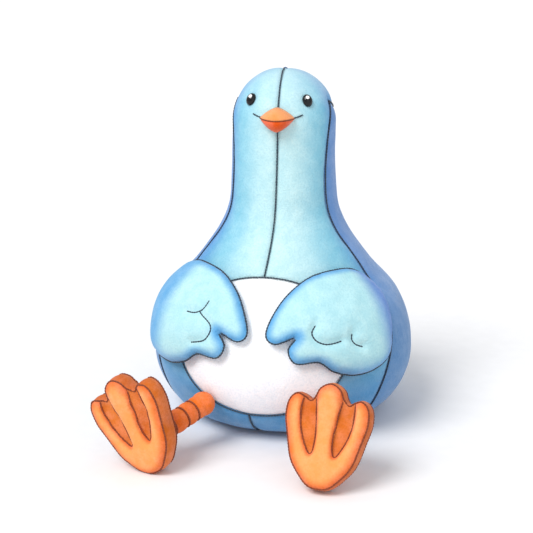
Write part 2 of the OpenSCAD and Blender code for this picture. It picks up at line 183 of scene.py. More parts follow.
def plush(name, colour, sheen=0.25, pile=620.0, depth=0.0013, uneven=0.42):
    """Short plush: fine pile, brushed clumps and a slightly uneven dye. colour(shade) gives it."""
    s = Shade(name, roughness=0.9, sheen=sheen, specular=0.12)
    clumps = s.noise(95, 3, 0.6)
    fibres = s.noise(pile, 2, 0.65)
    dye = s.noise(16, 2)
    base = colour(s) if callable(colour) else srgb(*colour)
    dark = s.mix(1.0, base, (0.72, 0.81, 0.88, 1), "MULTIPLY")
    pale = s.mix(0.18, base, (1, 1, 1, 1))
    toned = s.mix(s.ramp(clumps, 0.3, 0.7, 0.0, 1.0), dark, pale)
    toned = s.mix(uneven, base, toned)
    toned = s.mix(s.ramp(dye, 0.35, 0.65, 0.0, 0.35), toned, base)
    toned = s.mix(s.ramp(fibres, 0.3, 0.62, 0.42, 0.0), toned, dark)
    s.put(s.bsdf, "Roughness", s.ramp(fibres, 0.2, 0.8, 0.82, 0.98))
    height = s.math("ADD", s.math("MULTIPLY", fibres, 0.7), s.math("MULTIPLY", clumps, 0.6))
    return s.finish(toned, height, depth)


def thread(name, colour):
    """Twisted sewing thread."""
    s = Shade(name, roughness=0.6, specular=0.3, sheen=0.15)
    twist = s.noise(1500, 1)
    tone = s.mix(s.ramp(twist, 0.35, 0.65), srgb(*colour), lighter(colour, 26))
    return s.finish(tone, twist, 0.0003)


def plastic(name, colour):
    """Glossy moulded plastic with faint wear."""
    s = Shade(name, roughness=0.08, specular=0.3, coat=0.15)
    wear = s.noise(240, 3)
    s.put(s.bsdf, "Roughness", s.ramp(wear, 0.4, 0.7, 0.1, 0.2))
    tone = s.mix(s.ramp(wear, 0.45, 0.75, 0.0, 0.25), srgb(*colour), lighter(colour, 14))
    return s.finish(tone, wear, 0.00005)


def azimuth(s, centre=0.0):
    """Angle from the front, to either side of centre, in degrees."""
    turn = s.math("ARCTAN2", s.x, s.math("MULTIPLY", s.y, -1.0))
    degrees = s.math("MULTIPLY", turn, 180 / math.pi)
    return s.math("ABSOLUTE", s.math("SUBTRACT", degrees, centre))


def front_blue_painted_shade(s):
    """Pale aqua down the front, with painted shade: bluer and darker towards the side seams and towards the
    floor.
    """
    side = azimuth(s, 6.0)
    # painted shade: the tone turns bluer and darker towards each side seam
    tone = s.mix(s.ramp(side, 12, 52), srgb(190, 226, 229), srgb(132, 197, 217))
    tone = s.mix(s.ramp(side, 46, 78), tone, srgb(72, 148, 210))
    tone = s.mix(s.ramp(s.z, 0.262, 0.299, 0.0, 0.7), tone, srgb(182, 218, 230))
    # painted shade: darker blue towards the floor
    return s.mix(s.ramp(s.z, 0.095, 0.04), tone, srgb(84, 150, 200))


def back_blue_painted_shade(s):
    """Periwinkle back, with painted shade: darker near the floor."""
    # painted shade: darker near the floor
    tone = s.mix(s.ramp(s.z, 0.05, 0.17), srgb(92, 140, 190), srgb(106, 148, 204))
    return s.mix(s.ramp(azimuth(s), 80, 150), tone, srgb(110, 158, 212))


def wing_blue_painted_shade(s):
    """Pale aqua feathers, with painted shade: bluer along the edges and tips, towards the back edge and low
    down, and deeper periwinkle at the back edge of the left wing.
    """
    # painted shade: bluer along the wing's seams and tips
    tone = s.mix(s.ramp(s.inset(), 1, 8.5), srgb(96, 168, 218), srgb(178, 223, 228))
    # painted shade: bluer towards the back edge, deeper on the left wing
    back = s.mix(s.ramp(s.x, -0.02, 0.02), srgb(98, 168, 216), srgb(92, 138, 206))
    tone = s.mix(s.ramp(azimuth(s, 5.0), 45, 57), tone, back)
    # painted shade: bluer low down
    return s.mix(s.ramp(s.z, 0.084, 0.066, 0.0, 0.6), tone, srgb(112, 168, 216))


def patch_white_painted_shade(s):
    """White plush, with a faint cool painted shade low down."""
    return s.mix(s.ramp(s.z, 0.11, 0.03), srgb(255, 255, 255), srgb(246, 247, 252))


def painted_rim_shade(middle, rim, reach):
    """One tone in the middle of a piece and another along its seams: painted shade along the seams."""
    return lambda s: s.mix(s.ramp(s.inset(), 0.5, reach), srgb(*rim), srgb(*middle))


def mottled(pale, dark):
    """Two close tones in soft patches."""
    return lambda s: s.mix(s.ramp(s.noise(30, 2), 0.35, 0.65), srgb(*pale), srgb(*dark))


def materials():
    plush("front_plush", front_blue_painted_shade)
    plush("back_plush", back_blue_painted_shade)
    plush("white_plush", patch_white_painted_shade, sheen=0.2, uneven=0.2)
    plush("base_plush", (72, 122, 170))
    plush("wing_plush", wing_blue_painted_shade)
    plush("wing_lining", mottled((120, 184, 224), (104, 168, 214)))
    # the sole: its own orange in the middle, and a painted shade of deeper orange along its seams and beside
    # the webs
    plush("foot_plush", painted_rim_shade((250, 158, 86), (236, 112, 44), 7.5), sheen=0.15)
    plush("gusset_plush", mottled((222, 112, 34), (206, 98, 28)), sheen=0.12)
    plush("web_plush", mottled((228, 122, 44), (214, 106, 34)), sheen=0.1)
    plush("leg_plush", mottled((242, 114, 24), (226, 98, 18)), sheen=0.12)
    # painted light and shade on one orange felt: the upper half lighter, the lower half darker
    plush("beak_light", mottled((248, 160, 92), (240, 144, 74)), pile=1100, depth=0.0005)
    plush("beak_dark", mottled((238, 92, 10), (226, 80, 8)), pile=1100, depth=0.0005)
    plastic("eye_plastic", (10, 12, 16))
    # white of the eyes' glint dots, a painted highlight
    plastic("eye_glint", (252, 252, 252))
    plastic("washer_plastic", (70, 74, 80))
    thread("thread_dark", (30, 44, 58))
    thread("thread_blue", (52, 96, 146))
    thread("thread_orange", (112, 44, 14))
    thread("thread_rib", (120, 50, 16))


# ---- mesh tools (millimetres)
def piece(name, points, faces, material, body=None, replaces=(), inset=None):
    """A shown mesh. Points are in millimetres in the model's frame."""
    mesh = bpy.data.meshes.new(name)
    mesh.from_pydata((np.asarray(points, float) * MM).tolist(), [], [list(map(int, f)) for f in faces])
    if inset is not None:
        mesh.attributes.new("inset", "FLOAT", "POINT").data.foreach_set("value", inset)
    mesh.validate()
    mesh.shade_smooth()
    mesh.materials.append(material)
    made = bpy.data.objects.new(name, mesh)
    scene.collection.objects.link(made)
    return dress(made, body, replaces)


def dress(made, body=None, replaces=()):
    if body:
        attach(made, body)
    if replaces:
        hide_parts(*replaces)
    return made


def settle(made):
    """Applies a piece's modifiers."""
    seen = made.evaluated_get(bpy.context.evaluated_depsgraph_get())
    mesh = bpy.data.meshes.new_from_object(seen)
    made.modifiers.clear()
    made.data = mesh


def thicken(made, thickness, soften=False):
    """Gives a skin the thickness of its cloth, after a subdivision where soften is set."""
    if soften:
        smooth = made.modifiers.new("smooth", "SUBSURF")
        smooth.levels = smooth.render_levels = 1
        settle(made)
    shell = made.modifiers.new("shell", "SOLIDIFY")
    shell.thickness = thickness * MM
    shell.offset = -1
    settle(made)
    made.data.shade_smooth()


def smooth_curve(keys, n, closed=True):
    """Catmull-Rom curve through keys, with n points to each span."""
    k = np.asarray(keys, float)
    count = len(k)
    pick = (lambda i: k[i % count]) if closed else (lambda i: k[min(max(i, 0), count - 1)])
    out = []
    for i in range(count if closed else count - 1):
        a, b, c, d = pick(i - 1), pick(i), pick(i + 1), pick(i + 2)
        for t in np.arange(n) / n:
            out.append((2 * b + (c - a) * t + (2 * a - 5 * b + 4 * c - d) * t**2
                        + (3 * b - a - 3 * c + d) * t**3) / 2)
    if not closed:
        out.append(k[-1])
    return np.array(out)


def run_of(line):
    """How far along a line each of its points is."""
    return np.concatenate([[0], np.cumsum(np.linalg.norm(np.diff(line, axis=0), axis=1))])


def resample(line, step, closed=False):
    """Points at an even step along a line."""
    line = np.asarray(line, float)
    if closed:
        line = np.vstack([line, line[:1]])
    run = run_of(line)
    count = max(int(run[-1] / step), 3)
    at = np.linspace(0, run[-1], count + 1)
    if closed:
        at = at[:-1]
    return np.stack([np.interp(at, run, line[:, k]) for k in range(line.shape[1])], 1)


def grid_faces(rows, cols, wrap=False):
    out = []
    for i in range(rows - 1):
        for j in range(cols if wrap else cols - 1):
            k = (j + 1) % cols
            out.append((i * cols + j, i * cols + k, (i + 1) * cols + k, (i + 1) * cols + j))
    return out


def barrel_faces(rows, cols):
    """Faces of a wall of rings, and of its two flat ends."""
    last = (rows - 1) * cols
    ends = [tuple(range(cols))[::-1], tuple(range(last, last + cols))]
    return grid_faces(rows, cols, wrap=True) + ends


def tube(line, radius, closed=False, pitch=2.4):
    """Beaded tube along a line: a row of stitches drawn tight. Returns points and faces."""
    bead, sides, per_stitch = 0.22, 8, 4
    line = resample(line, pitch / per_stitch, closed)
    n = len(line)
    ahead = (np.roll(line, -1, 0) - np.roll(line, 1, 0)) if closed else np.gradient(line, axis=0)
    ahead /= np.linalg.norm(ahead, axis=1)[:, None]
    side = np.zeros_like(line)
    ref = np.cross(ahead[0], (0.3, 0.5, 0.81))
    for i in range(n):
        ref = ref - ahead[i] * ref.dot(ahead[i])
        ref /= np.linalg.norm(ref)
        side[i] = ref
    over = np.cross(ahead, side)
    turn = np.arange(sides) * 2 * math.pi / sides
    size = radius * (1 - bead + 2 * bead * np.abs(np.sin(np.pi * np.arange(n) / per_stitch)))
    ring = side[:, None] * np.cos(turn)[None, :, None] + over[:, None] * np.sin(turn)[None, :, None]
    points = (line[:, None] + ring * size[:, None, None]).reshape(-1, 3)
    if not closed:
        return points, barrel_faces(n, sides)
    return points, [tuple(i % len(points) for i in face) for face in grid_faces(n + 1, sides, wrap=True)]


def joined(parts):
    """One points and faces pair from several."""
    points, faces, base = [], [], 0
    for p, f in parts:
        points.append(p)
        faces += [tuple(i + base for i in face) for face in f]
        base += len(p)
    return np.vstack(points), faces


def sewing(name, lines, radius, body, slot, replaces=(), closed=False, pitch=2.4, other=None):
    """Threads along lines, in their slot's material unless other names one."""
    points, faces = joined([tube(line, radius, closed, pitch) for line in lines])
    return piece(name, points, faces, MATERIAL[other or slot], body, replaces)


def edges_of(faces):
    """Every edge once, as a sorted pair of points."""
    return sorted({tuple(sorted((face[k], face[k - 1]))) for face in faces for k in range(len(face))})


def snap(flat, faces, f, keep=None):
    """Moves corners onto f = 0 along crossed edges, and splits the quads that it then crosses.
    Where only one end of an edge is in keep, the other end moves.
    Returns the new flat points, the faces and the new f."""
    flat, f = flat.copy(), f.copy()
    best = {}
    for a, b in edges_of(faces):
        if f[a] * f[b] < 0:
            t = f[a] / (f[a] - f[b])
            move = (a, b, t) if t < 0.5 else (b, a, 1 - t)
            if keep is not None and keep[move[0]] and not keep[move[1]]:
                move = (move[1], move[0], 1 - move[2])
            if move[0] not in best or move[2] < best[move[0]][1]:
                best[move[0]] = (move[1], move[2])
    start = flat.copy()
    for a, (b, t) in best.items():
        flat[a] = start[a] + (start[b] - start[a]) * t
        f[a] = 0
    out = []
    for face in faces:
        signs = np.sign([f[i] for i in face])
        if len(face) == 4 and signs.min() < 0 < signs.max():
            k = 0 if signs[0] == 0 else 1
            out.append((face[k], face[k + 1], face[k + 2]))
            out.append((face[k + 2], face[(k + 3) % 4], face[k]))
        else:
            out.append(face)
    return flat, out, f


def line_distance(points, line):
    """Distance to an open line."""
    best = np.full(len(points), 1e9)
    for p0, p1 in zip(line[:-1], line[1:]):
        v = p1 - p0
        w = points - p0
        t = np.clip((w @ v) / max(v @ v, 1e-9), 0, 1)
        best = np.minimum(best, np.linalg.norm(w - t[:, None] * v, axis=1))
    return best


def outline_distance(points, outline):
    """Signed distance to a closed outline, above zero inside."""
    ring = np.vstack([outline, outline[:1]])
    inside = np.zeros(len(points), bool)
    for p0, p1 in zip(ring[:-1], ring[1:]):
        crosses = (p0[1] > points[:, 1]) != (p1[1] > points[:, 1])
        with np.errstate(divide="ignore", invalid="ignore"):
            at = (points[:, 1] - p0[1]) / (p1[1] - p0[1]) * (p1[0] - p0[0]) + p0[0]
        inside ^= crosses & (points[:, 0] < at)
    far = line_distance(points, ring)
    return np.where(inside, far, -far)


def compact(points, faces):
    """Only the points that faces use, renumbered. Returns the kept places too."""
    used = sorted({i for face in faces for i in face})
    new = {old: k for k, old in enumerate(used)}
    return points[used], [tuple(new[i] for i in face) for face in faces], np.array(used)


def cut_out(xs, ys, outline):
    """A flat grid trimmed to an outline. Returns its points, its faces and which points are on the edge."""
    flat = np.stack(np.meshgrid(xs, ys), -1).reshape(-1, 2)
    faces = grid_faces(len(ys), len(xs))
    flat, faces, f = snap(flat, faces, outline_distance(flat, outline))
    faces = [face for face in faces if max(f[i] for i in face) > 0]
    flat, faces, used = compact(flat, faces)
    return flat, faces, f[used] <= 0


def heights_along(line, flat, height, count, blur=None):
    """Height of a puffed sheet along a flat line, from its nearest few points, then evened out.
    Nearer points count for more where blur is given."""
    tree = kdtree.KDTree(len(flat))
    for i, (x, y) in enumerate(flat):
        tree.insert((x, y, 0), i)
    tree.balance()
    heights = []
    for x, y in line:
        found = tree.find_n((x, y, 0), count)
        weights = [1 / (gap + blur) if blur else 1 for _, _, gap in found]
        heights.append(np.average([height[i] for _, i, _ in found], weights=weights))
    return np.convolve(np.pad(heights, 2, mode="edge"), np.ones(5) / 5, "valid")


def dome(count, faces, fixed, rounds=900):
    """Height of a skin blown up over a flat outline: 0 on the fixed points, 1 at its highest."""
    a, b = np.array(edges_of(faces)).T
    near = np.bincount(a, minlength=count) + np.bincount(b, minlength=count)
    free = ~fixed & (near > 0)
    h = np.zeros(count)
    for _ in range(rounds):
        total = np.bincount(a, h[b], count) + np.bincount(b, h[a], count)
        h = np.where(free, total / np.maximum(near, 1) + 1, 0)
    return np.sqrt(h / h.max())


def inflate(points, faces, pinned, pressure=4.0, frames=20, cap=3.0):
    """Cloth simulation of a stuffed skin, sewn down at its pinned points.
    Returns how far each point moves, in millimetres, at most cap."""
    mesh = bpy.data.meshes.new("sim")
    mesh.from_pydata((points * MM).tolist(), [], [list(map(int, f)) for f in faces])
    made = bpy.data.objects.new("sim", mesh)
    scene.collection.objects.link(made)
    group = made.vertex_groups.new(name="sewn")
    group.add([int(i) for i in np.flatnonzero(pinned)], 1.0, "REPLACE")
    cloth = made.modifiers.new("cloth", "CLOTH")
    cloth.point_cache.frame_end = frames
    s = cloth.settings
    s.effector_weights.gravity = 0
    s.use_pressure = True
    s.uniform_pressure_force = pressure
    s.vertex_group_mass = "sewn"
    s.tension_stiffness = s.compression_stiffness = 30
    s.bending_stiffness = 2
    for f in range(1, frames + 1):
        scene.frame_set(f)
    seen = made.evaluated_get(bpy.context.evaluated_depsgraph_get())
    co = np.zeros(len(points) * 3)
    seen.data.vertices.foreach_get("co", co)
    scene.frame_set(1)
    bpy.data.objects.remove(made)
    moved = co.reshape(-1, 3) / MM - points
    far = np.linalg.norm(moved, axis=1)
    return moved * (np.minimum(far, cap) / np.maximum(far, 1e-9))[:, None]


def lumps(points, size, seed=0.0):
    """Soft random swelling, from -1 to 1, over about size millimetres."""
    return np.array([noise.noise(Vector(p) / size + Vector((seed, 0, 0))) for p in points])


# ---- the body's outline
BASE_R, BELLY_Z, CROWN_H = 58.0, 60.0, 45.0
RISE = np.array([(60, 113), (105, 101), (135, 75.5), (175, 50), (210, 45), (255, 44)], float)
HEAD_Z, TOP_Z = 255.0, 300.0
FACE_TURN = 3.5


def body_r(z):
    """The body's radius at a height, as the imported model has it."""
    z = np.clip(np.asarray(z, float), 0, TOP_Z)
    spans = np.diff(RISE[:, 1]) / np.diff(RISE[:, 0])
    slope = np.concatenate([[0], (spans[:-1] + spans[1:]) / 2, [0]])
    i = np.clip(np.searchsorted(RISE[:, 0], z, "right") - 1, 0, len(RISE) - 2)
    long = RISE[i + 1, 0] - RISE[i, 0]
    t = (z - RISE[i, 0]) / long
    rise = ((2 * t**3 - 3 * t**2 + 1) * RISE[i, 1] + (t**3 - 2 * t**2 + t) * long * slope[i]
            + (3 * t**2 - 2 * t**3) * RISE[i + 1, 1] + (t**3 - t**2) * long * slope[i + 1])
    bowl = BASE_R + (RISE[0, 1] - BASE_R) * np.sqrt(np.clip(1 - (1 - z / BELLY_Z) ** 2, 0, 1))
    crown = RISE[-1, 1] * np.sqrt(np.clip(1 - ((z - HEAD_Z) / CROWN_H) ** 2, 0, 1))
    return np.where(z < BELLY_Z, bowl, np.where(z < HEAD_Z, rise, crown))


def normal_at(z):
    """Outward normal of the outline: away from the axis, and up."""
    z = np.clip(np.asarray(z, float), 0.6, TOP_Z - 0.6)
    fall = body_r(z - 0.5) - body_r(z + 0.5)
    size = np.sqrt(1 + fall**2)
    return 1 / size, fall / size


def on_body(turn, z, out=0.0):
    """Point on the body at an angle from the front, in degrees, and a height, moved out."""
    away, up = normal_at(z)
    top = np.asarray(z, float) >= TOP_Z - 0.01
    away, up = np.where(top, 0, away), np.where(top, 1, up)
    r = body_r(z) + out * away
    a = np.radians(turn)
    return np.stack(np.broadcast_arrays(r * np.sin(a), -r * np.cos(a), z + out * up), -1)


def body_normal(turn, z):
    away, up = normal_at(z)
    a = np.radians(turn)
    return np.stack(np.broadcast_arrays(away * np.sin(a), -away * np.cos(a), up), -1)


CENTRE = np.array([(0, -4.5), (25, -4.5), (60, -3), (115, -1.5), (135, -1.5), (170, 1.2),
                   (195, 2.7), (240, 4), (300, 4.5)], float)
SIDE = np.array([(0, 56), (33, 58), (54, 61), (90, 69), (131, 75), (150, 74), (166, 69),
                 (190, 64), (214, 64), (252, 72), (275, 84), (300, 90)], float)
PATCH_W, PATCH_H, PATCH_Z = 144.0, 110.0, 83.0
CROWN_SEAM_Z, CROWN_SLOPE = 272.0, math.radians(24)


def along(table, z):
    """A smooth value from a table by height."""
    fine = smooth_curve(table, 12, closed=False)
    return np.interp(z, fine[:, 0], fine[:, 1])


def above_crown(p):
    """Distance above the crown seam's plane."""
    return (p[..., 2] - CROWN_SEAM_Z) * math.cos(CROWN_SLOPE) + p[..., 1] * math.sin(CROWN_SLOPE)


def in_patch(p):
    """Above zero inside the patch's outline, and about a distance in millimetres near it."""
    share = np.sqrt((p[..., 0] / (PATCH_W / 2)) ** 2 + ((p[..., 2] - PATCH_Z) / (PATCH_H / 2)) ** 2)
    value = (1 - share) * PATCH_H / 2
    return np.where(p[..., 1] < 0, value, -50.0)


# Columns of the body's grid at the back, the side seams and the front centre
COLS = (0, 46, 72, 98, 144)


def body_grid(rows, per):
    """Angles and heights of the body's grid: even rows along the outline, and columns on its seams."""
    zs = np.concatenate([BELLY_Z * (1 - np.cos(np.linspace(0, math.pi / 2, 400))),
                         np.linspace(BELLY_Z, HEAD_Z, 600)[1:],
                         HEAD_Z + CROWN_H * np.sin(np.linspace(0, math.pi / 2, 400))[1:]])
    run = run_of(np.stack([body_r(zs), zs], 1))
    z = np.interp(np.linspace(0, run[-1], rows + 1)[:-1], run, zs)
    side, middle = along(SIDE, z), along(CENTRE, z)
    keys = np.stack([np.full_like(z, -180), -side, middle, side, np.full_like(z, 180)], 1)
    at = np.arange(COLS[-1] * per) / per
    turn = np.stack([np.interp(at, COLS, k) for k in keys])
    return turn, np.repeat(z[:, None], len(at), 1)


BASE_RINGS = (54.0, 46.0, 36.0, 24.0, 12.0)


def body_points(turn, z, out):
    """The whole closed skin: wall rows, base rings, crown pole and base pole."""
    wall = on_body(turn, z, out)
    a = np.radians(turn[0])
    rings = [np.stack([r * np.sin(a), -r * np.cos(a), np.zeros_like(a)], -1) for r in BASE_RINGS]
    return np.vstack([wall.reshape(-1, 3), *rings, [[0, 0, TOP_Z]], [[0, 0, 0]]])


def body_faces(rows, cols):
    """Faces of the wall, of the base and of the crown's cap."""
    wall = grid_faces(rows, cols, wrap=True)
    starts = [0] + [(rows + k) * cols for k in range(len(BASE_RINGS))]
    top = starts[-1] + cols
    around = [(j, (j + 1) % cols) for j in range(cols)]
    base = [(lower + j, lower + k, upper + k, upper + j)
            for upper, lower in zip(starts, starts[1:]) for j, k in around]
    base += [(starts[-1] + k, starts[-1] + j, top + 1) for j, k in around]
    cap = [((rows - 1) * cols + j, (rows - 1) * cols + k, top) for j, k in around]
    return wall, base, cap


def seam_lines():
    """The body's seams by name, each as angles from the front and heights."""
    z = np.concatenate([np.linspace(1, 296, 400), TOP_Z - 4 * np.linspace(1, 0.02, 40) ** 2])
    middle, side = along(CENTRE, z), along(SIDE, z)
    beyond = in_patch(on_body(middle, z)) < 0
    below, over = beyond & (z < PATCH_Z), beyond & (z > PATCH_Z)
    wall = on_body(side, z)
    low = above_crown(wall) < 0
    ring = np.linspace(0, 360, 721)
    lines = {
        "front_low": (middle[below], z[below]),
        "front": (middle[over], z[over]),
        "back": (np.full_like(z, 180.0), z),
        "side_left": (side[low], z[low]),
        "side_right": (-side[low], z[low]),
    }
    reach = float(np.interp(0, above_crown(wall), side))
    turn = np.linspace(reach, 360 - reach, 400)
    high = np.full_like(turn, CROWN_SEAM_Z)
    for _ in range(30):
        high = CROWN_SEAM_Z + body_r(high) * np.cos(np.radians(turn)) * math.tan(CROWN_SLOPE)
    lines["crown"] = (turn, high)
    t = np.radians(ring[:-1])
    pz = PATCH_Z + PATCH_H / 2 * np.sin(t)
    px = PATCH_W / 2 * np.cos(t)
    lines["patch"] = (np.degrees(np.arcsin(px / body_r(pz))), pz)
    lines["base"] = (ring[:-1], np.full(720, 1.2))
    return lines


EYE_TURN, EYE_Z = 38.0, 277.0
BEAK_Z, BEAK_W = 263.5, 29.0


class Seams:
    """Nearest seam to a point, and how far along it that is."""

    def __init__(self, lines):
        self.run, pts = [], []
        for turn, z in lines.values():
            p = on_body(turn, z)
            gap = run_of(p)
            at = np.arange(0, gap[-1], 0.7)
            pts.append(np.stack([np.interp(at, gap, p[:, k]) for k in range(3)], 1))
            self.run.append(at + 977 * len(self.run))
        self.points, self.run = np.vstack(pts), np.concatenate(self.run)
        self.tree = kdtree.KDTree(len(self.points))
        for i, p in enumerate(self.points):
            self.tree.insert(p, i)
        self.tree.balance()

    def near(self, points):
        found = [self.tree.find(p) for p in points]
        return np.array([f[2] for f in found]), self.run[[f[1] for f in found]]


SKIN_OUT, SEAM_OUT = -0.4, -1.1
# Thickness of each kind of cloth
BODY_CLOTH, WING_CLOTH, ROOT_CLOTH, FOOT_CLOTH, BEAK_FELT = 1.6, 0.9, 1.2, 1.0, 1.1
# Each panel's slot, and what is inside it
PANELS = {
    "front_panel_left": ("front_plush", ["body_stuffing"]),
    "front_panel_right": ("front_plush", []),
    "back_panel_left": ("back_plush", []),
    "back_panel_right": ("back_plush", []),
    "belly_patch": ("white_plush", []),
    "base_panel": ("base_plush", ["pellet_pouch", "pellet_fill"]),
}


def body_push(seams, rows, cols):
    """How far stuffing pushes the skin out between its seams, on the grid of twice the rows and columns."""
    turn, z = body_grid(rows, 1)
    coarse = body_points(turn, z, SKIN_OUT)
    far, _ = seams.near(coarse)
    sewn_within, swell = 2.6, 1.9
    pinned = (far < sewn_within) | (coarse[:, 2] < 0.5)
    moved = inflate(coarse, sum(body_faces(rows, cols), []), pinned, cap=swell)
    push = np.zeros((rows * 2, cols * 2, 3))
    push[::2, ::2] = moved[: rows * cols].reshape(rows, cols, 3)
    push[::2, 1::2] = (push[::2, ::2] + np.roll(push[::2, ::2], -1, 1)) / 2
    push[1:-1:2] = (push[:-2:2] + push[2::2]) / 2
    push[-1] = push[-2] / 2
    return push.reshape(-1, 3)


def body_relief(points, seams):
    """How far the skin stands out: sunk and puckered along its seams, lumpy, and dented by the eyes."""
    groove, groove_w, valley, valley_w = 1.25, 2.0, 0.75, 7
    pucker, pucker_from, pucker_to = 0.42, 1.6, 5.5
    dent, dent_w = 1.6, 7.5
    far, run = seams.near(points)
    gather = lumps(np.stack([run / 7, run * 0, run * 0], 1), 1.0, 3.0)
    out = SKIN_OUT - groove * np.exp(-((far / groove_w) ** 2)) - valley * np.exp(-((far / valley_w) ** 2))
    out += pucker * gather * np.exp(-far / pucker_to) * (1 - np.exp(-((far / pucker_from) ** 2)))
    out += 0.55 * lumps(points, 34.0, 11.0) + 0.3 * lumps(points, 15.0, 5.0)
    for side in (1, -1):
        eye = on_body(FACE_TURN + side * EYE_TURN, EYE_Z)
        out -= dent * np.exp(-((np.linalg.norm(points - eye, axis=1) / dent_w) ** 2))
    return out


def body():
    """Six panels of plush, blown up between their seams and drawn in along them."""
    lines = seam_lines()
    seams = Seams(lines)
    rows, cols = 92, COLS[-1]
    push = body_push(seams, rows, cols)
    rows, cols = rows * 2, cols * 2
    turn, z = body_grid(rows, 2)
    low_side, half, high_side = (2 * col for col in COLS[1:4])

    flat = np.stack([turn, z], -1).reshape(-1, 2)
    wall, base, cap = body_faces(rows, cols)
    count = len(flat)
    flat, wall, f_patch = snap(flat, wall, in_patch(on_body(flat[:, 0], flat[:, 1])))
    col = np.arange(count) % cols
    behind = (col <= low_side) | (col >= high_side)
    f_crown = np.where(behind, above_crown(on_body(flat[:, 0], flat[:, 1])), 1.0)
    back = [face for face in wall if all(behind[i] for i in face)]
    front = [face for face in wall if not all(behind[i] for i in face)]
    flat, back, f_crown = snap(flat, back, f_crown)

    points = body_points(turn, z, 0.0)
    points[:count] = on_body(flat[:, 0], flat[:, 1])
    normals = np.zeros_like(points)
    normals[:count] = body_normal(flat[:, 0], flat[:, 1])
    normals[-2] = (0, 0, 1)
    out = body_relief(points, seams)
    out[count:] = 0
    pole_sunk, flat_under = 1.2, 6
    out[-2] = -pole_sunk
    rest = np.clip(points[:, 2] / flat_under, 0, 1)
    points = points + normals * (out * rest)[:, None]
    points[:count] += push * rest[:count, None]
    points[:, 2] = np.maximum(points[:, 2], 0.0)

    groups = {name: [] for name in PANELS}
    groups["base_panel"] = base
    for face in back + front + cap:
        own = [i for i in face if i < count]
        at = [i % cols for i in own]
        place = min(at) if max(at) - min(at) < cols / 2 else max(at)
        at_back = (place < low_side or place >= high_side) and len(own) == len(face)
        panel = "front_panel_"
        if at_back and max((f_crown[i] for i in own), key=abs) <= 0:
            panel = "back_panel_"
        panel += "left" if place >= half else "right"
        if len(own) == len(face) and max(f_patch[i] for i in own) > 0:
            panel = "belly_patch"
        groups[panel].append(face)
    for name, faces in groups.items():
        slot, inside = PANELS[name]
        kept, faces, _ = compact(points, faces)
        made = piece(name + "_plush", kept, faces, MATERIAL[slot])
        thicken(made, BODY_CLOTH)
        dress(made, "torso", [name] + inside)
    body_threads(lines)


def body_threads(lines):
    """The seams' threads, and the ladder of stitches that closes the back."""
    for name, keys, radius, slot in (
        ("seam_front", ("front", "front_low"), 0.55, "thread_dark"),
        ("seam_patch", ("patch",), 0.5, "thread_dark"),
        ("seam_sides", ("side_left", "side_right", "crown"), 0.55, "thread_dark"),
        ("seam_back", ("back",), 0.5, "thread_blue"),
    ):
        sewn = [on_body(*lines[key], SEAM_OUT) for key in keys]
        sewing(name, sewn, radius, "torso", slot, closed=name == "seam_patch")
    stitches, lowest, apart = 8, 24, 7.0
    across = np.linspace(-1, 1, 9)
    ladder = [on_body(180 + 1.9 * across, lowest + apart * k + 0.8 * across, -0.55 - 1.1 * across**4)
              for k in range(stitches)]
    sewing("closing_stitch_thread", ladder, 0.6, "torso", "thread_blue", ["closing_stitch"])


# ---- face
def local(turn, z, out=0.0):
    """Frame on the body: x across, y up it, z out of it."""
    n = Vector(body_normal(turn, z))
    a = math.radians(turn)
    x = Vector((math.cos(a), math.sin(a), 0))
    y = n.cross(x)
    at = Matrix((x, y, n)).transposed().to_4x4()
    return Matrix.Translation(Vector(on_body(turn, z, out))) @ at


def moved_by(matrix, points):
    m = np.array(matrix)
    return np.asarray(points) @ m[:3, :3].T + m[:3, 3]


def turned(profile, sides, squeeze=(1.0, 1.0)):
    """A form turned from a profile of radius and height, from its far end to its tip."""
    turn = np.arange(sides) * 2 * math.pi / sides
    points = [np.stack([r * squeeze[0] * np.cos(turn), r * squeeze[1] * np.sin(turn),
                        np.full(sides, h)], 1) for r, h in profile]
    return np.vstack(points), barrel_faces(len(profile), sides)


def eyes():
    """Oval safety eyes: a glossy dome on a shank, and a small white glint set in it, a painted highlight."""
    half_w, half_h, domed = 4.35, 5.35, 3.7
    shank, deep, sunk = 0.396, 5.9, 0.9
    for side, name in ((1, "left"), (-1, "right")):
        place = local(FACE_TURN + side * EYE_TURN, EYE_Z, -sunk)
        profile = [(shank, -deep), (shank, -0.9), (0.86, -0.8), (0.97, -0.45)]
        profile += [(math.cos(a), domed * math.sin(a)) for a in np.linspace(0, math.pi / 2, 15)[:-1]]
        profile.append((0.02, domed))
        points, faces = turned(profile, 40, (half_w, half_h))
        piece(f"eye_{name}_dome", moved_by(place, points), faces, MATERIAL["eye_plastic"], "torso",
              [f"eye_{name}"])
        # the glint is a painted highlight: a white dot on the inner upper side of each eye
        across, up = -0.99 * side, 1.75
        lift = domed * math.sqrt(1 - (across / half_w) ** 2 - (up / half_h) ** 2)
        spot = [(1.0, -0.35), (1.0, 0.02), (0.86, 0.16), (0.5, 0.24), (0.02, 0.26)]
        points, faces = turned(spot, 24, (1.55, 1.55))
        tilt = Vector((across / half_w**2, up / half_h**2, lift / domed**2)).to_track_quat("Z", "Y")
        at = place @ Matrix.Translation((across, up, lift)) @ tilt.to_matrix().to_4x4()
        piece(f"eye_{name}_glint", moved_by(at, points), faces, MATERIAL["eye_glint"], "torso")


BEAK_OUT, MOUTH_DIP, BEAK_SUNK = 13.0, 0.4, 0.9


def mouth_y(x):
    """Height of the mouth line across the beak."""
    return -MOUTH_DIP * np.cos(np.clip(2 * x / BEAK_W, -1, 1) * math.pi / 2) ** 2


def on_face(points):
    """Beak points, as across, up and out of the face, in the model's frame."""
    x, y, out = points.T
    skin = -np.sqrt(np.maximum(body_r(BEAK_Z + y) ** 2 - x**2, 1))
    centre = Matrix.Rotation(math.radians(FACE_TURN), 4, "Z")
    return moved_by(centre, np.stack([x, skin - out + BEAK_SUNK, BEAK_Z + y], 1))


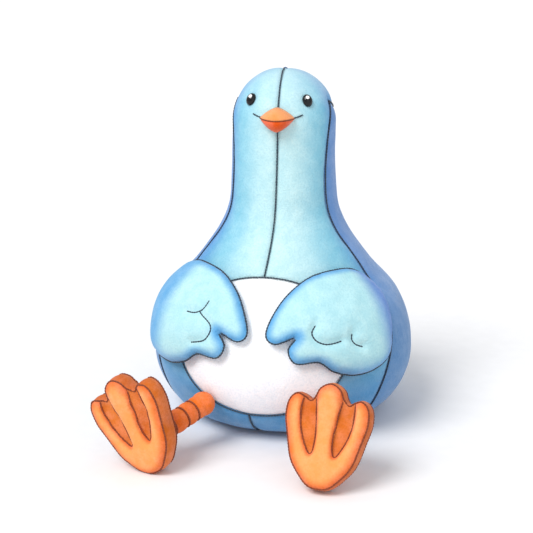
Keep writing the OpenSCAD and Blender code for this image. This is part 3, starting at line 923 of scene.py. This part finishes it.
def beak_half(sign, tall):
    """The felt of one half: a grid from the mouth line to the edge, welded at its two corners."""
    steps, rings = 40, 22
    points = []
    for v in np.arange(rings + 1) / rings:
        for u in -1 + 2 * np.arange(steps + 1) / steps:
            x = BEAK_W / 2 * u
            edge = (1 - abs(u) ** 1.55) ** 0.95
            # it stands out most on the mouth line, and rounds off towards its edge
            share = math.sqrt(max(0.0, 1 - v**2.2)) * (1 - abs(u) ** 2.1) ** 0.62
            crease = 0.55 * math.exp(-((v * tall * max(edge, 0.05)) / 0.9) ** 2)
            y = mouth_y(x) + (sign * tall * edge - mouth_y(x)) * v
            points.append((x, y, BEAK_OUT * share - crease * (share > 0.02)))
    faces = [face[::sign] for face in grid_faces(rings + 1, steps + 1)]
    mesh = bmesh.new()
    verts = [mesh.verts.new(p) for p in on_face(np.array(points))]
    for face in faces:
        mesh.faces.new([verts[i] for i in face])
    bmesh.ops.remove_doubles(mesh, verts=mesh.verts, dist=0.05)
    bmesh.ops.dissolve_degenerate(mesh, edges=mesh.edges, dist=0.02)
    mesh.verts.index_update()
    points = np.array([v.co for v in mesh.verts])
    faces = [tuple(v.index for v in f.verts) for f in mesh.faces]
    mesh.free()
    return points, faces


def beak():
    """Two felt halves stuffed to a soft diamond, closed along a dipping mouth line."""
    # the upper half takes the lighter orange and the lower the darker, painted light and shade
    for name, sign, tall, slot, inside in (("upper", 1, 8.8, "beak_light", ["beak_stuffing"]),
                                           ("lower", -1, 11.2, "beak_dark", [])):
        points, faces = beak_half(sign, tall)
        made = piece(f"beak_{name}_felt", points, faces, MATERIAL[slot])
        thicken(made, BEAK_FELT)
        dress(made, "torso", [f"beak_{name}"] + inside)
    u = np.linspace(-0.97, 0.97, 60)
    x = BEAK_W / 2 * u
    stand = BEAK_OUT * (1 - np.abs(u) ** 2.1) ** 0.62 - 0.35
    mouth = on_face(np.stack([x, mouth_y(x), stand], 1))
    sewing("mouth_line", [mouth], 0.5, "torso", "thread_orange", pitch=1.8)
    t = np.linspace(0, 1, 24)
    corner = math.degrees(math.asin(BEAK_W / 2 / RISE[-1, 1]))
    smiles = [on_body(FACE_TURN + side * (corner - 1 + 10.5 * t), BEAK_Z + 0.4 + 2.2 * t**1.4, -0.25)
              for side in (1, -1)]
    sewing("smile_stitches", smiles, 0.55, "torso", "thread_dark", ["mouth_stitches"])


# ---- wings
WING_GAP, WING_T = 1.2, 14.0
WING_ANGLE, WING_SPAN, WING_H, WING_TOP = 35.0, 63.0, 73.0, 138.0
WING_SHAPE = [
    (0.76, 0), (0.51, 0), (0.32, 0.055), (0.14, 0.205), (0.03, 0.4), (0, 0.56), (0.065, 0.63),
    (0.205, 0.56), (0.145, 0.685), (0.19, 0.82), (0.335, 0.82), (0.43, 0.93), (0.57, 1),
    (0.73, 0.985), (0.86, 0.89), (0.92, 0.685), (0.985, 0.44), (1, 0.245), (0.905, 0.07),
]
# Quilted creases of each wing, as shares of its span and height
QUILTS = {
    1: [
        [(0.323, 0.472), (0.296, 0.532), (0.305, 0.582), (0.33, 0.621), (0.377, 0.649), (0.427, 0.649),
         (0.482, 0.634)],
        [(0.56, 0.585), (0.552, 0.633), (0.575, 0.686), (0.621, 0.718)],
    ],
    -1: [
        [(0.471, 0.453), (0.397, 0.444), (0.341, 0.402), (0.321, 0.331)],
        [(0.361, 0.432), (0.273, 0.497), (0.248, 0.55), (0.257, 0.617), (0.288, 0.675), (0.372, 0.714)],
    ],
}
# Radius that the wing is laid flat from, and the wall's heights with how far up its outline each is
WING_R = 108.0
WALL_Z = np.linspace(30, 170, 561)
WALL_RUN = run_of(np.stack([body_r(WALL_Z), WALL_Z], 1))


def wing_flat(share):
    """Wing shares to flat millimetres: round the belly, and up its outline."""
    share = np.asarray(share, float)
    turn = WING_ANGLE + WING_SPAN * (share[:, 0] - 0.49)
    z = WING_TOP - share[:, 1] * WING_H
    return np.stack([np.radians(turn) * WING_R, np.interp(z, WALL_Z, WALL_RUN)], 1)


def wing_place(flat, out, side):
    """Flat wing millimetres to the model's frame."""
    turn = np.degrees(flat[:, 0] / WING_R)
    z = np.interp(flat[:, 1], WALL_RUN, WALL_Z)
    return on_body(turn * side, z, out)


def wing(side, name):
    """A quilted pillow with feather lobes, sewn together round its edge."""
    step = 2.4
    outline = smooth_curve(wing_flat(WING_SHAPE), 8)
    low, high = outline.min(0) - 2 * step, outline.max(0) + 2 * step
    flat, faces, edge = cut_out(np.arange(low[0], high[0], step), np.arange(low[1], high[1], step), outline)
    count = len(flat)
    puff = dome(count, faces, edge)
    creases = [smooth_curve(wing_flat(q), 8, closed=False) for q in QUILTS[side]]
    near = np.min([line_distance(flat, c) for c in creases], axis=0)
    crease_deep, crease_w, dip_deep, dip_w, swell = 0.36, 2.6, 0.1, 8, 1.6
    pull = 1 - crease_deep * np.exp(-((near / crease_w) ** 2)) - dip_deep * np.exp(-((near / dip_w) ** 2))
    ripple = lumps(np.stack([flat[:, 0], flat[:, 1], flat[:, 0] * 0], 1), 13.0, 7.0 * side)
    shaped = np.clip(puff, 0, 1) ** 0.8 * pull
    middle = WING_GAP + 0.36 * WING_T
    top = middle + (WING_T * 0.66 + 0.7 * ripple) * shaped
    under = middle - (middle - WING_GAP) * np.clip(puff * 1.5, 0, 1) ** 0.8
    outer, inner = wing_place(flat, top, side), wing_place(flat, under, side)

    # one closed skin for the simulation: the two sides share the edge
    inner_index = np.where(edge, np.arange(count), -1)
    free = np.flatnonzero(~edge)
    inner_index[free] = count + np.arange(len(free))
    both = np.vstack([outer, inner[free]])
    out_faces = [face[::side] for face in faces]
    in_faces = [tuple(inner_index[i] for i in reversed(face)) for face in out_faces]
    pinned = np.zeros(len(both), bool)
    pinned[:count] = edge | (near < 2.0)
    pinned[count:] = True
    both = both + inflate(both, out_faces + in_faces, pinned, cap=swell)

    # distance in from the seams, which sets where the wing's painted shade lies
    inset = outline_distance(flat, outline)
    inset = np.clip(np.concatenate([inset, inset[free]]), 0, None)
    for part, faces, slot, nodes in (
        ("outer", out_faces, "wing_plush", [f"wing_{name}_outer", f"wing_{name}_stuffing"]),
        ("lining", in_faces, "wing_lining", [f"wing_{name}_inner"]),
    ):
        points, faces, used = compact(both, faces)
        made = piece(f"wing_{name}_{part}_plush", points, faces, MATERIAL[slot], inset=inset[used])
        thicken(made, WING_CLOTH, soften=True)
        dress(made, f"wing_{name}", nodes)
    edge_line = wing_place(resample(outline, 1.5, closed=True), middle, side)
    sewing(f"wing_{name}_edge_seam", [edge_line], 0.75, f"wing_{name}", "thread_dark", closed=True)
    lines = []
    for crease in creases:
        crease = resample(crease, 1.2)
        lines.append(wing_place(crease, heights_along(crease, flat, top, 4, blur=0.2) - 0.05, side))
    sewing(f"wing_{name}_quilting_thread", lines, 0.6, f"wing_{name}", "thread_dark",
           [f"wing_{name}_quilting"])


def wing_root(side, name):
    """A strip of cloth that sews the wing's back edge to the belly."""
    joint = JOINTS[f"wing_{name}_swing"]
    pivot, axis = np.array(joint["pos_m"]) / MM, np.array(joint["axis"])
    z = np.linspace(91, 119, 15)
    line = pivot + axis * ((z - pivot[2]) / axis[2])[:, None]
    hinge = np.degrees(np.arctan2(line[:, 0] * side, -line[:, 1]))
    share = np.interp((WING_TOP - z) / WING_H, (0.07, 0.245, 0.44, 0.685), (0.905, 1, 0.985, 0.92))
    rear = WING_ANGLE + WING_SPAN * (share - 0.49)
    # each row's angle, how far out it lies, and its share of the full height
    rows = [(hinge + 2.5, -1.6, 0.7), (hinge + 0.5, 0.0, 0.76), (hinge - 1.5, 1.6, 0.82),
            ((hinge + rear) / 2, 3.4, 0.88), (rear, 5.4, 1), (rear - 2.5, 5.4, 1)]
    centre = z.mean()
    points = np.vstack([on_body(side * turn, centre + (z - centre) * tall, out)
                        for turn, out, tall in rows])
    faces = [face[::side] for face in grid_faces(len(rows), len(z))]
    made = piece(f"wing_{name}_root_plush", points, faces, MATERIAL["front_plush"])
    thicken(made, ROOT_CLOTH, soften=True)
    middle = len(z) // 2
    across = on_body(side * rear[middle], z[middle]) - pivot
    across -= axis * (across @ axis)
    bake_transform(made)
    dress(made, None)


# ---- feet and legs
FOOT_L, FOOT_W, FOOT_T, ANKLE_H, LEG_R = 80.0, 65.0, 17.0, 24.0, 9.0
# How far a foot's two edges lie inside its thickness
FOOT_EDGE = 1.2
FOOT_HALF = [(0.25, 0.02), (0.47, 0.1), (0.74, 0.25), (0.906, 0.49), (1, 0.66), (0.963, 0.8),
             (0.8, 0.871), (0.62, 0.85), (0.47, 0.815), (0.33, 0.87), (0.24, 0.95)]
WEB_HALF = [(0.3, 0.315), (0.39, 0.355), (0.55, 0.49), (0.64, 0.645), (0.63, 0.84), (0.5, 0.91),
            (0.36, 0.9), (0.33, 0.865), (0.26, 0.67), (0.22, 0.485), (0.24, 0.36)]
# Each foot's turn about the upright, its roll about its own face, and how far it leans back
FOOT_POSE = {"left": (-8, -1, 22), "right": (-17, 27, -4)}


def foot_frame(name):
    yaw, roll, lean = FOOT_POSE[name]
    ankle = joint_point(f"foot_{name}_twist")
    tilt = Matrix.Rotation(math.radians(yaw), 4, "Z") @ Matrix.Rotation(math.radians(90 - lean), 4, "X")
    spin = Matrix.Rotation(math.radians(roll), 4, "Z")
    return Matrix.Translation(ankle) @ tilt @ spin @ Matrix.Translation((0, -ANKLE_H, FOOT_T))


def joint_point(name):
    return Vector(JOINTS[name]["pos_m"]) / MM


def foot_relief(flat, faces, edge, in_web):
    """Heights of the sole, with puffed toes and sunk webs, and of the foot's rounded back."""
    count = len(flat)
    toes = dome(count, faces, edge | (in_web >= 0))
    puff = dome(count, faces, edge)
    toe_rise, web_edge, web_deep, back_out = 5.2, 0.9, 2.5, 2.2
    dip = web_edge + web_deep * (1 - np.exp(-np.clip(in_web, 0, None) / 2.0))
    dent = np.where(in_web > 0, dip, web_edge * np.exp(-((in_web / 1.6) ** 2)))
    sole = -FOOT_EDGE + toe_rise * toes**0.85 - dent
    sole += 0.3 * lumps(np.c_[flat, flat[:, 0] * 0], 9.0, 4.0)
    return sole, -FOOT_T + FOOT_EDGE - back_out * np.clip(puff, 0, 1) ** 0.9


def foot_strip(line, outward, sole, back):
    """The boxing strip round a foot, from the sole's own edge to the back's, gathered and bulging."""
    rows, n = 9, len(line)
    run = run_of(line)
    gather = lumps(np.c_[run / 5, run * 0, run * 0], 1.0, 9.0)
    strip = []
    for t in np.arange(rows) / (rows - 1):
        bulge = 1.5 * math.sin(math.pi * t) ** 0.7 + 0.25 * math.sin(2 * math.pi * t) * gather
        if t in (0, 1):
            bulge = np.zeros(n)
        h = -FOOT_EDGE + (2 * FOOT_EDGE - FOOT_T) * t
        strip.append(np.c_[line + outward * bulge[:, None], np.full(n, h)])
    strip[0][:, 2], strip[-1][:, 2] = sole, back
    return np.vstack(strip), [face[::-1] for face in grid_faces(rows, n, wrap=True)]


def within(line, outline, clear=0.8):
    """The open stretch of a closed line that lies inside an outline, or the whole line."""
    inside = outline_distance(line, outline) > clear
    if inside.all():
        return line
    return np.roll(line, -int(np.flatnonzero(~inside)[-1]) - 1, 0)[: inside.sum()]


def foot(name):
    """A stuffed foot: a puffed sole with sunk webs, a boxing strip round it and a back."""
    step = 1.9
    half = np.array(FOOT_HALF) * (FOOT_W / 2, FOOT_L)
    outline = smooth_curve(np.vstack([[(0, 0)], half, [(0, FOOT_L)], half[::-1] * (-1, 1)]), 8)
    web = smooth_curve(np.array(WEB_HALF) * (FOOT_W / 2, FOOT_L), 8)
    webs = [web, web * (-1, 1)]
    low, high = outline.min(0) - 2 * step, outline.max(0) + 2 * step
    xs = np.arange(-math.ceil(-low[0] / step), math.ceil(high[0] / step) + 1) * step
    flat, faces, edge = cut_out(xs, np.arange(low[1], high[1], step), outline)
    in_web = np.max([outline_distance(flat, w) for w in webs], axis=0)
    flat, faces, in_web = snap(flat, faces, in_web, keep=edge)
    inset = outline_distance(flat, outline)
    edge = np.abs(inset) < 0.02
    sole, back = foot_relief(flat, faces, edge, in_web)

    order = edge_loop(faces)
    line = flat[order]
    around = np.roll(line, -1, 0) - np.roll(line, 1, 0)
    around /= np.linalg.norm(around, axis=1)[:, None]
    outward = np.c_[around[:, 1], -around[:, 0]]
    if ((line - line.mean(0)) * outward).sum() < 0:
        outward = -outward
    strip, strip_faces = foot_strip(line, outward, sole[order], back[order])

    matrix, body_ = foot_frame(name), f"foot_{name}"

    def place(points, lowest=0.15):
        points = moved_by(matrix, points)
        points[:, 2] = np.maximum(points[:, 2], lowest)
        return points

    # where the sole's painted shade lies: near its seams and beside the sunk webs
    rim = np.clip(np.minimum(inset, -in_web * 2.5), 0, None)
    toes = [face for face in faces if max((in_web[i] for i in face), key=abs) <= 0]
    sunk = [face for face in faces if max((in_web[i] for i in face), key=abs) > 0]
    front, rear = np.c_[flat, sole], np.c_[flat, back]
    for part, points, faces, slot, nodes in (
        ("sole", front, toes, "foot_plush", [f"foot_{name}_sole", f"foot_{name}_stuffing"]),
        ("webs", front, sunk, "web_plush", [f"foot_{name}_webs"]),
        ("top", rear, [face[::-1] for face in faces], "leg_plush", [f"foot_{name}_top"]),
        ("gusset", strip, strip_faces, "gusset_plush", [f"foot_{name}_gusset"]),
    ):
        points, faces, used = compact(place(points), faces)
        shade = rim[used] if part == "sole" else None
        made = piece(f"foot_{name}_{part}_plush", points, faces, MATERIAL[slot], inset=shade)
        thicken(made, FOOT_CLOTH, soften=True)
        dress(made, body_, nodes)
    edges = [place(np.c_[line + outward * 0.25, h], 0.7) for h in (sole[order] + 0.1, back[order] - 0.1)]
    sewing(f"foot_{name}_edge_seams", edges, 0.6, body_, "thread_orange", closed=True)
    borders = []
    for w in webs:
        q = within(resample(w, 1.2, closed=True), outline)
        borders.append(place(np.c_[q, heights_along(q, flat, sole, 3) + 0.35]))
    sewing(f"foot_{name}_web_seams", borders, 0.5, body_, "thread_orange")


def edge_loop(faces):
    """The outline's points in order round it."""
    count = {}
    for face in faces:
        for pair in zip(face, face[1:] + face[:1]):
            key = tuple(sorted(pair))
            count[key] = None if key in count else pair
    after = dict(pair for pair in count.values() if pair)
    start = min(after)
    loop, at = [start], after[start]
    while at != start:
        loop.append(at)
        at = after[at]
    return np.array(loop)


def leg(name):
    """A stuffed tube from the hip's gathered ball to the foot, with threads drawn tight round it."""
    hip, ankle = joint_point(f"leg_{name}_splay"), joint_point(f"foot_{name}_twist")
    axis = ankle - hip
    length = axis.length
    matrix = Matrix.Translation(hip) @ axis.to_track_quat("Z", "Y").to_matrix().to_4x4()
    places = [share * length for share in (0.21, 0.41, 0.66)]
    sides, rows, rounded = 48, 64, 9
    bulge, bulge_w, waist, waist_w = 0.7, 4, 0.9, 1.7
    angle = np.arange(sides) * 2 * math.pi / sides
    points = []
    for h in np.linspace(0.0, length + 2.0, rows):
        pinch = sum(math.exp(-(((h - p) / waist_w) ** 2)) for p in places)
        gap = min(abs(h - p) for p in places)
        r = LEG_R + bulge * (1 - math.exp(-((gap / bulge_w) ** 2))) - waist * min(pinch, 1)
        if h < rounded:
            r = math.sqrt(max(0.5, r**2 - ((rounded - h) / rounded) ** 2 * 30))
        r = r + 0.18 * np.sin(angle * 9 + h) * math.exp(-gap / 3)
        points.append(np.c_[r * np.cos(angle), r * np.sin(angle), np.full(sides, h)])
    made = piece(f"leg_{name}_tube_plush", moved_by(matrix, np.vstack(points)), barrel_faces(rows, sides),
                 MATERIAL["leg_plush"])
    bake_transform(made)
    dress(made, None, [f"leg_{name}_tube", f"leg_{name}_stuffing"])
    turn, r = np.linspace(0, 2 * math.pi, 60, endpoint=False), LEG_R - 0.35
    rings = [moved_by(matrix, np.c_[r * np.cos(turn), r * np.sin(turn), np.full(60, p)]) for p in places]
    sewing(f"leg_{name}_ring_threads", rings, 0.75, f"leg_{name}", "thread_orange",
           [f"leg_{name}_rings"], closed=True, pitch=2.0, other="thread_rib")
    ball_r, pole = 10.0, math.pi / 2 - 0.06
    ball, faces = turned([(ball_r * math.cos(a), ball_r * math.sin(a)) for a in np.linspace(-pole, pole, 30)],
                         sides)
    swirl = np.arctan2(ball[:, 1], ball[:, 0])
    ball *= (1 + 0.02 * np.sin(swirl * 12) * np.clip(-ball[:, 2] / ball_r, 0, 1))[:, None]
    piece(f"leg_{name}_cuff_plush", moved_by(matrix, ball), faces, MATERIAL["leg_plush"], f"hip_{name}",
          [f"leg_{name}_cuff"])


def floor():
    """Plain pale floor."""
    s = Shade("floor", roughness=0.9, specular=0.1)
    grain = s.noise(60, 2)
    tone = s.mix(s.ramp(grain, 0.3, 0.7), srgb(240, 240, 241), srgb(242, 242, 243))
    material = s.finish(tone, grain, 0.0001, 0.05)
    mesh = bpy.data.meshes.new("floor")
    form = bmesh.new()
    bmesh.ops.create_grid(form, x_segments=24, y_segments=24, size=14)
    form.to_mesh(mesh)
    form.free()
    mesh.materials.append(material)
    made = bpy.data.objects.new("floor", mesh)
    made.location = (0, 0, -0.0002)
    scene.collection.objects.link(made)


look()
light()
materials()
floor()
body()
eyes()
beak()
for side_, name_ in ((1, "left"), (-1, "right")):
    wing(side_, name_)
    wing_root(side_, name_)
    foot(name_)
    leg(name_)
for node in ("eye_washer_left", "eye_washer_right"):
    mesh_ = frame["nodes"][node].data
    mesh_.materials.clear()
    mesh_.materials.append(MATERIAL["washer_plastic"])
